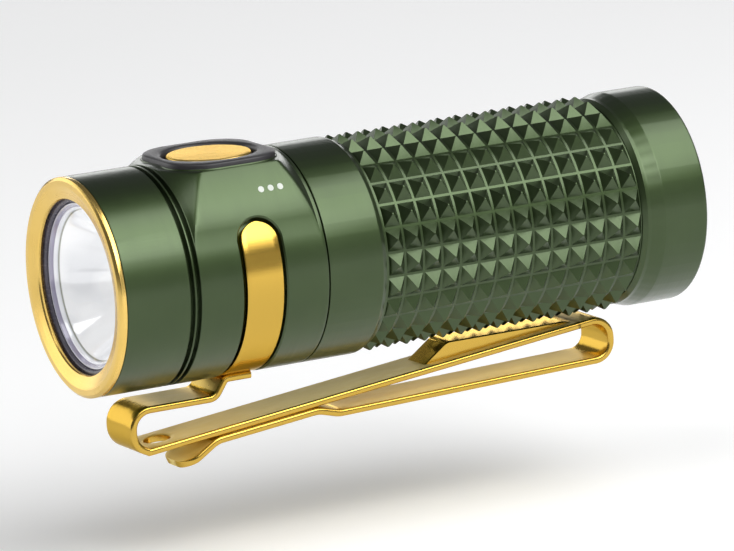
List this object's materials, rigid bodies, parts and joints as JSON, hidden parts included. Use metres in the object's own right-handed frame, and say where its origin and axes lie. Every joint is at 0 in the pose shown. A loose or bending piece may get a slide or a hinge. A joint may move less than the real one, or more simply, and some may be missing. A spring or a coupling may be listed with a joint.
{
  "type": "flashlight",
  "caption": "Compact side-switch flashlight with a knurled tube that unscrews from the head, a sprung push button, a two-way spring clip and a flat magnetic tail.",
  "frame": {"origin": "centre of the flat tail face, on the light's axis", "axes": "the light lies along Y with its beam leaving towards -Y and the tail facing +Y; +Z is the switch side, the clip hangs below; X is across"},
  "size_m": [0.021, 0.063, 0.0295],
  "materials": {
    "gold_plating": "polished gold plating with fine brushing",
    "green_anodising": "satin olive green anodising",
    "black_anodising": "matte black anodising",
    "bare_aluminium": "turned",
    "nickel_steel": "nickel plated",
    "spring_brass": "gold flashed spring wire",
    "black_rubber": "matte",
    "clear_optic": "clear polished acrylic",
    "white_plastic": "matte",
    "black_plastic": "matte",
    "white_board": "white solder mask on aluminium",
    "green_board": "green solder mask",
    "ferrite": "matte ferrite",
    "phosphor": "phosphor under a clear dome",
    "red_insulation": "silicone",
    "blue_sleeve": "heat-shrunk sleeve"
  },
  "bodies": {
    "head": {"bezel_ring": "gold_plating", "front_gasket": "black_rubber", "tir_optic": "clear_optic", "optic_holder": "white_plastic", "led_emitter": "phosphor", "led_board": "white_board", "led_wires": "red_insulation", "head_housing": "green_anodising", "switch_ring": "black_anodising", "switch_boot": "black_rubber", "tact_switch": "black_plastic", "switch_board": "green_board", "driver_board": "green_board", "driver_inductor": "ferrite", "driver_chip": "black_plastic", "driver_retaining_ring": "bare_aluminium", "driver_spring": "spring_brass", "clip_collar": "gold_plating"},
    "button": {"button_cap": "gold_plating"},
    "clip_inner": {"clip_arm": "gold_plating"},
    "clip_outer": {"clip_outer_arm": "gold_plating"},
    "cell": {"cell_can": "nickel_steel", "cell_sleeve": "blue_sleeve", "cell_insulator": "white_plastic", "cell_positive_button": "nickel_steel"},
    "tube": {"battery_tube": "green_anodising", "tube_o_ring": "black_rubber", "tail_spring": "spring_brass", "tail_board": "green_board", "tail_magnet": "nickel_steel", "magnet_spacer": "white_plastic"}
  },
  "joints": [
    {"name": "button_press", "type": "slide", "parent": "head", "child": "button", "axis": [0, 0, -1], "range_m": [0, 0.0003], "stiffness_N_per_m": 5000},
    {"name": "clip_flex", "type": "hinge", "parent": "head", "child": "clip_inner", "pos_m": [0, -0.0593, -0.01421], "axis": [-1, 0, 0], "range_deg": [0, 5], "stiffness_Nm_per_rad": 2},
    {"name": "outer_arm_flex", "type": "hinge", "parent": "clip_inner", "child": "clip_outer", "pos_m": [0, -0.00685, -0.01307], "axis": [1, 0, 0], "range_deg": [0, 8], "stiffness_Nm_per_rad": 1.5},
    {"name": "tube_travel", "type": "slide", "parent": "head", "child": "cell", "axis": [0, 1, 0], "range_m": [0, 0.003]},
    {"name": "tube_turn", "type": "hinge", "parent": "cell", "child": "tube", "pos_m": [0, 0, 0], "axis": [0, 1, 0], "range_deg": [0, 1080]}
  ],
  "couplings": [
    {"joint": "tube_turn", "follows": "tube_travel", "rad_per_m": 6283.2}
  ]
}
